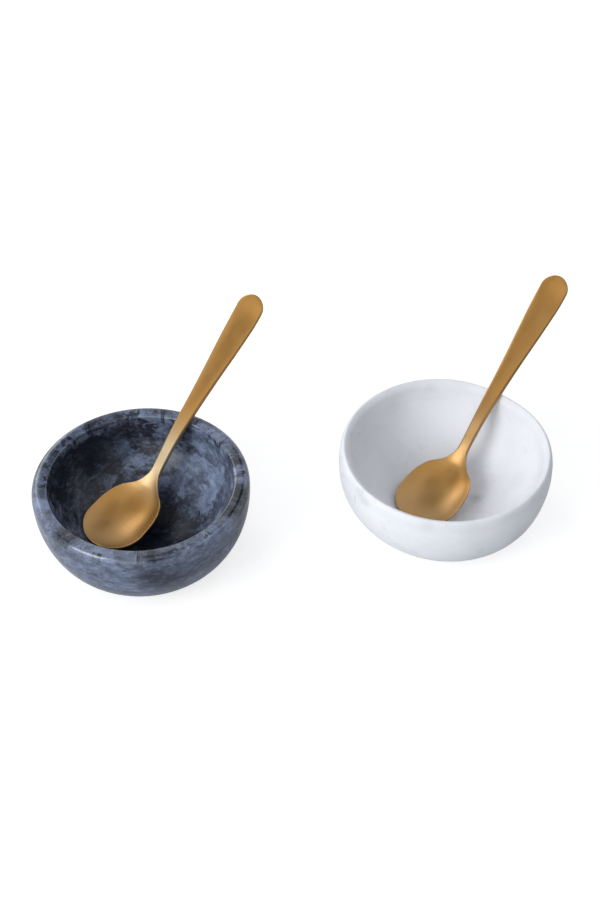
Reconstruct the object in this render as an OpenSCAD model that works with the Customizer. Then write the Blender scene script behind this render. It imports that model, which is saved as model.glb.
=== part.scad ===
// Pair of stone salt cellars, one dark and one white, each with its brass spoon.
// Millimetres, +Z up. The origin is the centre of the dark bowl's flat foot, on the table.

/* [Dark bowl] */
// Outer diameter at the widest ring
dark_d = 90; // [80:0.5:110]
// Height from the foot to the top of the rim
dark_h = 38.7; // [32:0.1:50]
// Height of the rounded shoulder, from the widest ring to the top of the rim
dark_shoulder_h = 3.8; // [1:0.1:12]
// How far the shoulder rounds outward, from the rim's level band to the widest ring
dark_shoulder_w = 2.6; // [1:0.1:4]
// Thickness of the wall at the mouth
dark_wall_t = 6.6; // [5:0.1:10]
// Diameter of the flat foot
dark_foot_d = 40.4; // [24:0.2:56]
// Radius of the rim's inner edge
dark_lip_r = 0.9; // [0.4:0.1:2]
// Stone left under the middle of the basin
dark_floor_t = 8.4; // [4:0.1:12]

/* [White bowl] */
// Outer diameter at the widest ring
white_d = 90.7; // [80:0.1:110]
// Height from the foot to the top of the rim
white_h = 38.2; // [32:0.1:50]
// Height of the rounded shoulder, from the widest ring to the top of the rim
white_shoulder_h = 5.4; // [1:0.1:12]
// How far the shoulder rounds outward, from the rim's crest to the widest ring
white_shoulder_w = 2.3; // [1:0.1:2.8]
// Thickness of the wall at the mouth
white_wall_t = 4.3; // [3.8:0.1:8]
// Diameter of the flat foot
white_foot_d = 31; // [24:0.2:56]
// Radius of the rim's inner edge
white_lip_r = 1.4; // [0.6:0.1:1.9]
// Stone left under the middle of the basin
white_floor_t = 5.4; // [4:0.1:12]

/* [Pair] */
// How far the white bowl stands to the right of the dark one, between centres
pair_x = 127.2; // [112:0.2:200]
// How far the white bowl stands behind the dark one, between centres
pair_y = 20; // [0:0.2:80]

/* [Spoon] */
// Length of the spoon, seen from above
spoon_l = 121.7; // [100:0.1:150]
// Length from the tip to the narrowest place of the neck
scoop_l = 45; // [40:0.1:54]
// Width of the scoop
scoop_w = 29.2; // [22:0.1:34]
// Depth of the scoop below its edge
scoop_depth = 5.2; // [2:0.1:8]
// Length of the scoop's rounded tip
tip_l = 14.3; // [8:0.1:20]
// Thickness of the scoop's metal
scoop_t = 1.4; // [0.8:0.1:2]
// Width of the neck
neck_w = 5; // [3:0.1:8]
// Thickness of the neck
neck_t = 2.8; // [1.6:0.1:3.6]
// Width of the handle near its end
end_w = 13; // [8:0.1:20]
// Length of the handle's rounded end
end_l = 5.3; // [3:0.1:8]
// Thickness of the handle near its end
handle_t = 1.8; // [1:0.1:2.4]
// How far the handle's middle stands above its edges
crown_h = 0.5; // [0:0.1:1]
// Length from the tip to where the stem begins to climb
heel_l = 32.9; // [30:0.1:38]
// How far the handle's end is above the scoop's edge
handle_rise = 40.2; // [20:0.1:48]

/* [Where the spoons lie] */
// The dark bowl's spoon: its tip to the right of the bowl's centre
dark_tip_x = -19.3; // [-22:0.1:-12]
// The dark bowl's spoon: its tip behind the bowl's centre
dark_tip_y = -15.5; // [-20:0.1:-10]
// The dark bowl's spoon: heading of the handle, anticlockwise from +X
dark_heading = 55; // [40:0.1:75]
// The white bowl's spoon: its tip to the right of the bowl's centre
white_tip_x = -14.7; // [-20:0.1:-10]
// The white bowl's spoon: its tip behind the bowl's centre
white_tip_y = -17.1; // [-22:0.1:-12]
// The white bowl's spoon: heading of the handle, anticlockwise from +X
white_heading = 53.1; // [40:0.1:75]
// Air between a resting spoon and the stone under it
rest_gap = 0.3; // [0.2:0.05:0.6]

/* [Hidden] */

$fn = 128;

// Fullness of each belly and basin: 2 is an ellipse, more is squarer
dark_belly_power = 2.13;
white_belly_power = 2.46;
dark_basin_power = 2.1;
white_basin_power = 2.1;

// Slope of the rim: its inner edge is lower than its outer edge by this share of the lip's radius
rim_slope_share = 0.35;

// Steps along the belly, the shoulder, the lip and the basin of a bowl's outline
belly_steps = 18;
shoulder_steps = 8;
lip_steps = 6;
basin_steps = 22;

// Scoop's width between the neck's and its own, along the scoop's length
scoop_width_shares = [
    [0, 0.99], [0.16, 1], [0.32, 0.98], [0.46, 0.958], [0.57, 0.872],
    [0.68, 0.67], [0.78, 0.28], [0.89, 0.028], [1, 0]];

// Scoop's depth along the scoop's length
scoop_depth_shares = [
    [0, 0], [0.06, 0.3], [0.15, 0.62], [0.28, 0.92], [0.4, 1], [0.52, 0.93],
    [0.64, 0.7], [0.76, 0.36], [0.86, 0.12], [0.94, 0.02], [1, 0]];

// Handle's width between the neck's and its end's, along the handle
handle_width_shares = [
    [0, 0], [0.08, 0.03], [0.2, 0.13], [0.36, 0.28], [0.52, 0.49],
    [0.68, 0.75], [0.84, 0.96], [1, 1]];

// Height of the stem and handle, from the heel to the end
rise_shares = [
    [0, 0], [0.03, 0.01], [0.08, 0.061], [0.15, 0.151], [0.25, 0.278], [0.38, 0.407],
    [0.52, 0.534], [0.66, 0.66], [0.8, 0.787], [0.9, 0.88], [1, 1]];

// Rounding of the metal's edges, as a share of its thickness
edge_round_share = 0.6;

// Places across half a section: on its flat, as shares, then round its edge, in degrees
flat_shares = [0, 0.5, 1];
edge_angles = [35, 65];

// Rings along the spoon: round its tip, along the scoop, along the handle and round its end
tip_rings = 8;
scoop_rings = 15;
handle_rings = 20;
end_rings = 6;

// Halvings of the search for a spoon's pitch, and the pitches it lies between
pitch_steps = 16;
pitch_low = -15;
pitch_high = 40;

// Samples along the handle for the place where it touches the rim
rim_samples = 160;

// A bowl's sizes as one list, which the functions below it read
dark = [
    dark_d / 2, dark_h, dark_foot_d / 2,
    dark_d / 2 - dark_shoulder_w, dark_h - dark_shoulder_h,
    dark_d / 2 - dark_wall_t, dark_lip_r, dark_floor_t,
    dark_belly_power, dark_basin_power];
white = [
    white_d / 2, white_h, white_foot_d / 2,
    white_d / 2 - white_shoulder_w, white_h - white_shoulder_h,
    white_d / 2 - white_wall_t, white_lip_r, white_floor_t,
    white_belly_power, white_basin_power];

function outer_r(b) = b[0];
function total_h(b) = b[1];
function foot_r(b) = b[2];
function rim_r(b) = b[3];
function wide_h(b) = b[4];
function mouth_r(b) = b[5];
function lip_r(b) = b[6];
function floor_t(b) = b[7];
function belly_power(b) = b[8];
function basin_power(b) = b[9];

// Height at which the basin's wall ends and the lip's round begins
function lip_z(b) = total_h(b) - lip_r(b) * (1 + rim_slope_share);

// Height of the basin's surface at a radius inside the mouth
function basin_z(b, r) =
    lip_z(b) - (lip_z(b) - floor_t(b))
        * pow(max(0, 1 - pow(r / mouth_r(b), basin_power(b))), 1 / basin_power(b));

// Outline of half a bowl, from the middle of the foot round the outside and back down the basin
function bowl_outline(b) = concat(
    [[0, 0]],
    [for (i = [0:belly_steps])
        let (a = 90 * i / belly_steps, p = 2 / belly_power(b))
        [foot_r(b) + (outer_r(b) - foot_r(b)) * pow(sin(a), p), wide_h(b) * (1 - pow(cos(a), p))]],
    [for (i = [1:shoulder_steps])
        let (a = 90 * i / shoulder_steps)
        [rim_r(b) + (outer_r(b) - rim_r(b)) * cos(a),
            wide_h(b) + (total_h(b) - wide_h(b)) * sin(a)]],
    [for (i = [0:lip_steps])
        let (a = 90 - 90 * i / lip_steps)
        [mouth_r(b) + lip_r(b) * (1 - cos(a)), lip_z(b) + lip_r(b) * sin(a)]],
    [for (i = [1:basin_steps])
        let (a = 90 - 90 * i / basin_steps, r = mouth_r(b) * sin(a))
        [r, basin_z(b, r)]]);

// Height of the stone's top surface at any radius, or below the table outside the bowl
function stone_top_z(b, r) =
    r < mouth_r(b) ? basin_z(b, r)
    : r < mouth_r(b) + lip_r(b)
        ? lip_z(b) + sqrt(max(0, pow(lip_r(b), 2) - pow(mouth_r(b) + lip_r(b) - r, 2)))
    : r < rim_r(b) ? total_h(b)
    : r < outer_r(b)
        ? wide_h(b) + (total_h(b) - wide_h(b))
            * sqrt(max(0, 1 - pow((r - rim_r(b)) / (outer_r(b) - rim_r(b)), 2)))
    : -total_h(b);

// Smooth curve through the rows of a table, which hold a place and a value
function row_before(t, x, i = 0) =
    i >= len(t) - 2 || x < t[i + 1][0] ? i : row_before(t, x, i + 1);
function row_slope(t, i) =
    let (a = max(0, i - 1), b = min(len(t) - 1, i + 1))
    (t[b][1] - t[a][1]) / (t[b][0] - t[a][0]);
function smooth(t, x) =
    let (
        i = row_before(t, x),
        h = t[i + 1][0] - t[i][0],
        s = min(1, max(0, (x - t[i][0]) / h)))
    t[i][1] * (1 + 2 * s) * pow(1 - s, 2)
        + t[i + 1][1] * (3 - 2 * s) * pow(s, 2)
        + h * row_slope(t, i) * s * pow(1 - s, 2)
        + h * row_slope(t, i + 1) * (s - 1) * pow(s, 2);

// Share that eases from 0 to 1 between two places
function ease(x, a, b) = let (s = min(1, max(0, (x - a) / (b - a)))) s * s * (3 - 2 * s);

// How far a rounded end has opened at a distance from it, from 0 to 1
function cap(x, l) = x < l ? sqrt(max(0, 1 - pow(1 - x / l, 2))) : 1;

// Sizes of the spoon at a distance from its tip
function along(u) = max(0, (u - scoop_l) / (spoon_l - scoop_l));
function half_w(u) =
    (neck_w + (u < scoop_l
        ? (scoop_w - neck_w) * smooth(scoop_width_shares, u / scoop_l)
        : (end_w - neck_w) * smooth(handle_width_shares, along(u)))) / 2
        * cap(u, tip_l) * cap(spoon_l - u, end_l);
function thick(u) = u < scoop_l
    ? scoop_t + (neck_t - scoop_t) * ease(u, scoop_l / 2, scoop_l)
    : neck_t + (handle_t - neck_t) * ease(u, scoop_l, spoon_l - end_l);
function edge_z(u) = u < heel_l ? 0
    : handle_rise * smooth(rise_shares, (u - heel_l) / (spoon_l - heel_l));
function dip(u) = u < scoop_l
    ? scoop_depth * smooth(scoop_depth_shares, u / scoop_l)
    : -crown_h * ease(u, scoop_l, (scoop_l + spoon_l) / 2);
function round_w(u) = min(half_w(u), edge_round_share * thick(u));
function half_t(u) =
    thick(u) / 2 * cap(u, edge_round_share * scoop_t)
        * cap(spoon_l - u, edge_round_share * handle_t);

// Point of a section at a place across it, on its upper side (1) or its lower side (-1)
function section_point(u, x, side) =
    let (
        w = half_w(u),
        r = round_w(u),
        over = max(0, abs(x) - (w - r)),
        f = sqrt(max(0, 1 - pow(over / r, 2))))
    [u, x, edge_z(u) - dip(u) * (1 - pow(x / w, 2)) + side * f * half_t(u)];

// Places across half a section, from its middle to its edge
function places(u) =
    let (w = half_w(u), r = round_w(u))
    concat([for (s = flat_shares) (w - r) * s], [for (a = edge_angles) w - r + r * sin(a)], [w]);

// One ring of the spoon, round its section
function ring(u) =
    let (p = places(u), n = len(p) - 1)
    concat(
        [for (i = [0:n]) section_point(u, p[i], 1)],
        [for (i = [n - 1:-1:0]) section_point(u, p[i], -1)],
        [for (i = [1:n]) section_point(u, -p[i], -1)],
        [for (i = [n - 1:-1:1]) section_point(u, -p[i], 1)]);

// Distances of the rings from the tip
ring_places = concat(
    [for (i = [1:tip_rings]) tip_l * (1 - cos(90 * i / tip_rings))],
    [for (i = [1:scoop_rings]) tip_l + (scoop_l - tip_l) * i / scoop_rings],
    [for (i = [1:handle_rings])
        scoop_l + (spoon_l - end_l - scoop_l) * i / handle_rings],
    [for (i = [1:end_rings - 1]) spoon_l - end_l * (1 - sin(90 * i / end_rings))]);
rings = [for (u = ring_places) ring(u)];
ring_n = len(rings[0]);
ring_count = len(rings);

// Where a point of the spoon comes to when its handle heads one way at a pitch, its tip at a place
function posed(p, tip, heading, pitch) =
    let (run = p[0] * cos(pitch) - p[2] * sin(pitch))
    [tip[0] + run * cos(heading) - p[1] * sin(heading),
        tip[1] + run * sin(heading) + p[1] * cos(heading),
        p[0] * sin(pitch) + p[2] * cos(pitch)];

// How high the tip has to be for each of these points to clear the stone
function needs(points, b, tip, heading, pitch) =
    max([for (p = points)
        let (q = posed(p, tip, heading, pitch))
        stone_top_z(b, norm([q[0], q[1]])) - q[2]]);

// The spoon's lower side, in the scoop and along the handle
scoop_under = [for (r = rings) if (r[0][0] < scoop_l) each r];
handle_under = [for (i = [0:rim_samples])
    let (u = scoop_l + (spoon_l - end_l - scoop_l) * i / rim_samples, w = half_w(u) - round_w(u))
    each [for (x = [-w, 0, w]) section_point(u, x, -1)]];

// Pitch at which the scoop and the handle bear on the stone together
function rest_pitch(b, tip, heading, low = pitch_low, high = pitch_high, n = pitch_steps) =
    let (mid = (low + high) / 2)
    n == 0 ? mid
    : needs(handle_under, b, tip, heading, mid) > needs(scoop_under, b, tip, heading, mid)
        ? rest_pitch(b, tip, heading, mid, high, n - 1)
        : rest_pitch(b, tip, heading, low, mid, n - 1);

module bowl(b) {
    rotate_extrude() polygon(bowl_outline(b));
}

module spoon() {
    last = ring_n * ring_count;
    polyhedron(
        points = concat(
            [for (r = rings) each r],
            [[0, 0, 0], [spoon_l, 0, edge_z(spoon_l)]]),
        faces = concat(
            [for (k = [0:ring_count - 2], i = [0:ring_n - 1])
                let (a = k * ring_n + i, b = k * ring_n + (i + 1) % ring_n)
                each [[a, b, b + ring_n], [a, b + ring_n, a + ring_n]]],
            [for (i = [0:ring_n - 1]) [last, (i + 1) % ring_n, i]],
            [for (i = [0:ring_n - 1])
                [last + 1, last - ring_n + i, last - ring_n + (i + 1) % ring_n]]));
}

// A spoon laid in a bowl, its tip at a place, its handle over the rim
module laid_spoon(b, tip, heading) {
    pitch = rest_pitch(b, tip, heading);
    height = max(
        needs(scoop_under, b, tip, heading, pitch),
        needs(handle_under, b, tip, heading, pitch)) + rest_gap;
    translate([tip[0], tip[1], height]) rotate([0, -pitch, heading]) spoon();
}

module dark_bowl() {
    color("#3d4557") bowl(dark);
}

module dark_spoon() {
    color("#b8914f") laid_spoon(dark, [dark_tip_x, dark_tip_y], dark_heading);
}

module white_bowl() {
    translate([pair_x, pair_y, 0]) color("#e6e8ee") bowl(white);
}

module white_spoon() {
    translate([pair_x, pair_y, 0])
        color("#a98344") laid_spoon(white, [white_tip_x, white_tip_y], white_heading);
}

dark_bowl();
dark_spoon();
white_bowl();
white_spoon();
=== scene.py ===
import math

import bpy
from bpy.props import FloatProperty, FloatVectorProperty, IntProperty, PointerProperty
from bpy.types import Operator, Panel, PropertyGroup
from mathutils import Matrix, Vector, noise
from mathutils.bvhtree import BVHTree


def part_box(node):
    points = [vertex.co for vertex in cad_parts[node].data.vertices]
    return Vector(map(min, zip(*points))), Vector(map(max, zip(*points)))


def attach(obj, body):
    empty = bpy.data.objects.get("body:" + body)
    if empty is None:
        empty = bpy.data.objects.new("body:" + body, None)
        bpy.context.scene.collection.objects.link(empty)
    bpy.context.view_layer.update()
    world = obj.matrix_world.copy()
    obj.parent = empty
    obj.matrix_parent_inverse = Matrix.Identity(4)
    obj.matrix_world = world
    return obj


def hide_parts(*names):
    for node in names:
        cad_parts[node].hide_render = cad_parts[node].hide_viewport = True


bl_info = {
    "name": "Stone salt cellar pair",
    "version": (1, 0, 0),
    "blender": (4, 5, 0),
    "location": "3D View > Sidebar > Salt cellars",
    "description": "Makes a pair of marble salt cellars with brass spoons",
    "category": "Object",
}

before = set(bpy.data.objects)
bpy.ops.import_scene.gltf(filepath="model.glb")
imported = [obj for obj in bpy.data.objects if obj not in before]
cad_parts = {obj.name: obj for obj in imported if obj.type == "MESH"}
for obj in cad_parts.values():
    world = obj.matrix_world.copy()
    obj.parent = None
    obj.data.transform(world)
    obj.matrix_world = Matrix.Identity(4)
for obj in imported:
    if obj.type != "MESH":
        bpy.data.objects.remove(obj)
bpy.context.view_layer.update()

MM = 0.001
RIGHT_ANGLE = math.pi / 2


def length(name, text, mm, least=0.0):
    """A length that a user can change, given in millimetres and kept in metres."""
    return FloatProperty(
        name=name, description=text, default=mm * MM, min=least * MM, unit="LENGTH", precision=5
    )


def share(name, text, value, most=1.0, least=0.0):
    """A plain number between its least and its most."""
    return FloatProperty(name=name, description=text, default=value, min=least, max=most)


def angle(name, text, degrees):
    """An angle, given in degrees."""
    return FloatProperty(name=name, description=text, default=math.radians(degrees), unit="ROTATION")


def colour(name, text, red, green, blue):
    """A linear colour."""
    return FloatVectorProperty(
        name=name, description=text, default=(red, green, blue), size=3, min=0.0, max=1.0,
        subtype="COLOR",
    )


def rim_passes(count):
    """How many passes soften a bowl's rim."""
    return IntProperty(
        name="Softening", description="Passes that soften the rim", default=count, min=0
    )


def power(name, text, watts):
    """The power of a lamp."""
    return FloatProperty(name=name, description=text, default=watts, min=0.0, unit="POWER")


def whole(node, axis):
    """Size of a CAD node along an axis, in millimetres."""
    low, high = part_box(node)
    return (high[axis] - low[axis]) / MM


class DarkBowlSizes(PropertyGroup):
    outer_d: length("Diameter", "Across the widest ring", whole("dark_bowl", 0))
    height: length("Height", "From the foot to the rim", whole("dark_bowl", 2))
    foot_d: length("Foot", "Diameter of the flat foot", 40.4)
    shoulder_h: length("Shoulder height", "From the widest ring up to the rim", 3.8)
    shoulder_w: length("Shoulder width", "From the rim's band out to the widest ring", 2.6)
    wall_t: length("Wall", "Thickness of the wall at the mouth", 6.6)
    lip_r: length("Lip", "Radius of the rim's inner edge", 0.9)
    floor_t: length("Floor", "Stone left under the middle of the basin", 8.4)
    belly_power: share("Belly", "Fullness of the belly, 2 being an ellipse", 2.13, 6.0)
    basin_power: share("Basin", "Fullness of the basin, 2 being an ellipse", 2.1, 6.0)
    softening: rim_passes(3)
    sway: length("Sway", "How far hand grinding wanders from the round", 0.12)
    flat_in: length("Flat", "How far the rim is drawn in at its flattest place", 0.0)
    flat_heading: angle("Flat heading", "Heading of the rim's flattest place", 50)
    foot_shift: length("Foot shift", "How far the foot stands right of the middle", 0.0)


class WhiteBowlSizes(PropertyGroup):
    outer_d: length("Diameter", "Across the widest ring", whole("white_bowl", 0))
    height: length("Height", "From the foot to the rim", whole("white_bowl", 2))
    foot_d: length("Foot", "Diameter of the flat foot", 31)
    shoulder_h: length("Shoulder height", "From the widest ring up to the rim", 5.4)
    shoulder_w: length("Shoulder width", "From the rim's crest out to the widest ring", 2.3)
    wall_t: length("Wall", "Thickness of the wall at the mouth", 4.9)
    lip_r: length("Lip", "Radius of the rim's inner edge", 2.4)
    floor_t: length("Floor", "Stone left under the middle of the basin", 5.4)
    belly_power: share("Belly", "Fullness of the belly, 2 being an ellipse", 2.46, 6.0)
    basin_power: share("Basin", "Fullness of the basin, 2 being an ellipse", 2.1, 6.0)
    softening: rim_passes(30)
    sway: length("Sway", "How far hand grinding wanders from the round", 0.25)
    flat_in: length("Flat", "How far the rim is drawn in at its flattest place", 1.3)
    flat_heading: angle("Flat heading", "Heading of the rim's flattest place", 52)
    foot_shift: length("Foot shift", "How far the foot stands right of the middle", 1.2)


class SpoonSizes(PropertyGroup):
    spoon_l: length("Length", "Length of the spoon seen from above", 121.1)
    scoop_l: length("Scoop length", "From the tip to the narrowest place of the neck", 45)
    scoop_w: length("Scoop width", "Width of the scoop", 29.2)
    scoop_depth: length("Scoop depth", "Depth of the scoop below its edge", 4.5)
    tip_l: length("Tip", "Length of the scoop's rounded tip", 14.3)
    scoop_t: length("Scoop metal", "Thickness of the scoop's metal", 1.4)
    neck_w: length("Neck width", "Width of the neck", 5)
    neck_t: length("Neck metal", "Thickness of the neck", 2.8)
    end_w: length("Handle width", "Width of the handle near its end", 13)
    end_l: length("Handle end", "Length of the handle's rounded end", 5.3)
    handle_t: length("Handle metal", "Thickness of the handle near its end", 1.65)
    crown_h: length("Crown", "How far the handle's middle stands above its edges", 0.5)
    heel_l: length("Heel", "From the tip to where the stem begins to climb", 32.9)
    handle_rise: length("Rise", "How far the handle's end is above the scoop's edge", 40.2)


class SpoonRest(PropertyGroup):
    dark_tip_x: length("Dark tip, right", "The dark spoon's tip right of the middle", -19.3, -40)
    dark_tip_y: length("Dark tip, back", "The dark spoon's tip behind the middle", -15.5, -40)
    dark_heading: angle("Dark heading", "Heading of the dark bowl's spoon", 55)
    white_tip_x: length("White tip, right", "The white spoon's tip right of the middle", -14.7, -40)
    white_tip_y: length("White tip, back", "The white spoon's tip behind the middle", -17.1, -40)
    white_heading: angle("White heading", "Heading of the white bowl's spoon", 53.1)
    rest_gap: length("Air", "Air between a resting spoon and the stone under it", 0.06)
    # How strongly each spoon's neck gets painted highlight; less than nothing gives painted shade
    dark_painted_neck_light: share("Dark neck rub", "How pale the dark bowl's spoon is rubbed at its neck", 1.0)
    white_painted_neck_light: share(
        "White neck rub", "The same for the white bowl's spoon; less than nothing is dull", -0.5,
        least=-1.0,
    )


class StoneColours(PropertyGroup):
    dark_light: colour("Light cloud", "Palest clouds of the dark marble", 0.166, 0.209, 0.316)
    dark_mid: colour("Middle cloud", "Body of the dark marble", 0.034, 0.041, 0.064)
    dark_deep: colour("Deep patch", "Near-black patches of the dark marble", 0.007, 0.0095, 0.018)
    dark_bloom: colour("Bloom", "Pale grains in the dark marble", 0.3, 0.36, 0.47)
    white_body: colour("White body", "Body of the white marble", 0.8, 0.82, 0.86)
    # White shade also colours the painted shade on the white rim's top
    white_shade: colour("White shade", "Faint cloudy shades of the white marble", 0.7, 0.72, 0.765)
    white_vein: colour("White vein", "Specks and hair veins of the white marble", 0.42, 0.43, 0.46)


class BrassColours(PropertyGroup):
    bright: colour("Brass", "Clean brushed brass", 0.44, 0.242, 0.072)
    warm: colour("Warm brass", "Warmer patches of the brass", 0.425, 0.21, 0.044)
    # Pale colour of the painted highlight on the neck and scoop
    lit: colour("Rubbed brass", "Pale rubbed metal of the neck and scoop", 0.37, 0.305, 0.19)
    dull: colour("Dull pit", "Tiny dull pits in the brass", 0.16, 0.09, 0.035)
    # Painted shade on a neck whose painted light is less than nothing, dimming its highlight
    painted_neck_shade: colour("Tarnish", "The dull film on a neck that is not rubbed", 0.2, 0.155, 0.095)


class StageSizes(PropertyGroup):
    camera_distance: length("Camera distance", "From the camera to the table between the bowls", 668.6)
    camera_elevation: angle("Camera elevation", "Angle of the view above the table", 44.52)
    focal_mm: FloatProperty(
        name="Focal length",
        description="Focal length on a 36 mm high frame",
        default=58.52,
        unit="CAMERA",
    )
    target: FloatVectorProperty(
        name="Target",
        description="Place on the table that the camera looks at",
        default=(65.53 * MM, 56.61 * MM, 0.0),
        unit="LENGTH",
    )
    floor_w: length("Floor", "Width of the pale floor", 4000)
    lamp_distance: length("Lamp distance", "From the lamps to the table between the bowls", 1100)
    window_power: power("Window", "Power of the key lamp", 5.5)
    broad_power: power("Broad window", "Power of the wide lamp", 2.8)
    back_power: power("Back window", "Power of the lamp behind", 2.3)


# Scoop's width between the neck's and its own, along the scoop's length
SCOOP_WIDTH_SHARES = [
    (0, 0.99), (0.16, 1), (0.32, 0.98), (0.46, 0.958), (0.57, 0.872),
    (0.68, 0.67), (0.78, 0.28), (0.89, 0.028), (1, 0),
]
# Scoop's depth along the scoop's length
SCOOP_DEPTH_SHARES = [
    (0, 0), (0.06, 0.3), (0.15, 0.62), (0.28, 0.92), (0.4, 1), (0.52, 0.93),
    (0.64, 0.7), (0.76, 0.36), (0.86, 0.12), (0.94, 0.02), (1, 0),
]
# Handle's width between the neck's and its end's, along the handle
HANDLE_WIDTH_SHARES = [
    (0, 0), (0.08, 0.03), (0.2, 0.13), (0.36, 0.28), (0.52, 0.49),
    (0.68, 0.75), (0.84, 0.96), (1, 1),
]
# Height of the stem and handle, from the heel to the end
RISE_SHARES = [
    (0, 0), (0.03, 0.01), (0.08, 0.061), (0.15, 0.151), (0.25, 0.278), (0.38, 0.407),
    (0.52, 0.534), (0.66, 0.66), (0.8, 0.787), (0.9, 0.88), (1, 1),
]
# Rounding of the metal's edges, as a share of its thickness
EDGE_ROUND_SHARE = 0.3
# Slope of the rim towards the mouth, as a share of the lip's radius
RIM_SLOPE_SHARE = 0.35


def smooth(rows, x):
    """Value of the smooth curve through the rows of a table at x."""
    i = 0
    while i < len(rows) - 2 and x >= rows[i + 1][0]:
        i += 1

    def slope(k):
        a, b = max(0, k - 1), min(len(rows) - 1, k + 1)
        return (rows[b][1] - rows[a][1]) / (rows[b][0] - rows[a][0])

    (x0, y0), (x1, y1) = rows[i], rows[i + 1]
    h = x1 - x0
    s = min(1.0, max(0.0, (x - x0) / h))
    return (
        y0 * (1 + 2 * s) * (1 - s) ** 2
        + y1 * (3 - 2 * s) * s**2
        + h * slope(i) * s * (1 - s) ** 2
        + h * slope(i + 1) * (s - 1) * s**2
    )


def ease(x, a, b):
    """Share that eases from 0 at a to 1 at b."""
    s = min(1.0, max(0.0, (x - a) / (b - a)))
    return s * s * (3 - 2 * s)


def opened(x, run):
    """How far a rounded end has opened at x from it, when it opens over this run."""
    return math.sqrt(max(0.0, 1 - (1 - x / run) ** 2)) if x < run else 1.0


def steps(n):
    """Shares 1/n to 1."""
    return [i / n for i in range(1, n + 1)]


def new_piece(name, points, faces):
    """A mesh object with smooth faces, from points in metres."""
    mesh = bpy.data.meshes.new(name)
    mesh.from_pydata(points, [], faces)
    mesh.validate()
    mesh.polygons.foreach_set("use_smooth", [True] * len(mesh.polygons))
    piece = bpy.data.objects.new(name, mesh)
    bpy.context.scene.collection.objects.link(piece)
    return piece


def dress(piece, body, node, material):
    """The piece takes a CAD node's place, moves with its body and gets its material."""
    piece.data.materials.append(material)
    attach(piece, body)
    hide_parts(node)


BELLY_STEPS = 44
SHOULDER_STEPS = 14
BAND_STEPS = 6
LIP_STEPS = 10
BASIN_STEPS = 60
ROUND_STEPS = 320
FOOT_RINGS = 5
# How many of the basin's rings the softening of the rim reaches
SOFT_BASIN_STEPS = 8


def bowl_outline(b):
    """Half a bowl's outline: radius and height, from the foot round the outside to the basin."""
    outer, foot = b.outer_d / 2, b.foot_d / 2
    wide_h = b.height - b.shoulder_h
    rim = outer - b.shoulder_w
    mouth = outer - b.wall_t
    lip_z = b.height - b.lip_r * (1 + RIM_SLOPE_SHARE)
    out = [(foot * s, 0.0) for s in steps(FOOT_RINGS)]
    p = 2 / b.belly_power
    for s in steps(BELLY_STEPS):
        a = RIGHT_ANGLE * s
        out.append(
            (foot + (outer - foot) * math.sin(a) ** p, wide_h * (1 - max(0.0, math.cos(a)) ** p))
        )
    for s in steps(SHOULDER_STEPS):
        a = RIGHT_ANGLE * s
        out.append((rim + (outer - rim) * math.cos(a), wide_h + b.shoulder_h * math.sin(a)))
    band_in, band_z = mouth + b.lip_r, lip_z + b.lip_r
    for s in steps(BAND_STEPS):
        out.append((rim + (band_in - rim) * s, b.height + (band_z - b.height) * s))
    for s in steps(LIP_STEPS):
        a = RIGHT_ANGLE * (1 - s)
        out.append((mouth + b.lip_r * (1 - math.cos(a)), lip_z + b.lip_r * math.sin(a)))
    for s in steps(BASIN_STEPS)[:-1]:
        r = mouth * math.sin(RIGHT_ANGLE * (1 - s))
        fall = max(0.0, 1 - (r / mouth) ** b.basin_power) ** (1 / b.basin_power)
        out.append((r, lip_z - (lip_z - b.floor_t) * fall))
    return softened(out, b.softening)


def softened(outline, passes):
    """The outline with its shoulder, band and lip rubbed soft."""
    first = FOOT_RINGS + BELLY_STEPS - 2
    last = first + SHOULDER_STEPS + BAND_STEPS + LIP_STEPS + SOFT_BASIN_STEPS
    for _ in range(passes):
        old = list(outline)
        for k in range(first, last):
            (r0, z0), (r1, z1), (r2, z2) = old[k - 1 : k + 2]
            outline[k] = ((r0 + 2 * r1 + r2) / 4, (z0 + 2 * z1 + z2) / 4)
    return outline


# How often hand grinding wanders round a bowl, and up it
WANDER = 1.3
WANDER_UP = 0.9
# How far round from the middle of a bowl's flat place its effect falls off
FLAT_SPREAD = math.radians(24)
# Share of a bowl's height over which its shifted foot comes back to the middle
SHIFT_SHARE = 0.6


def hand_ground(b, r, z, turn, seed):
    """A point of the bowl, drawn in from the true round as hand grinding leaves it."""
    x, y = math.cos(turn), math.sin(turn)
    wander = noise.noise(Vector((x * WANDER, y * WANDER, z / b.height * WANDER_UP + seed)))
    off = abs(math.remainder(turn - b.flat_heading, 2 * math.pi))
    flat = math.exp(-((off / FLAT_SPREAD) ** 2)) * b.flat_in
    share_out = min(1.0, r / (b.outer_d / 2 - b.wall_t))
    drawn = (b.sway * (0.5 + 0.5 * wander) + flat * ease(z, 0, b.height)) * share_out
    shift = b.foot_shift * (1 - ease(z, 0, b.height * SHIFT_SHARE))
    return Vector((x * (r - drawn) + shift, y * (r - drawn), z))


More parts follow.
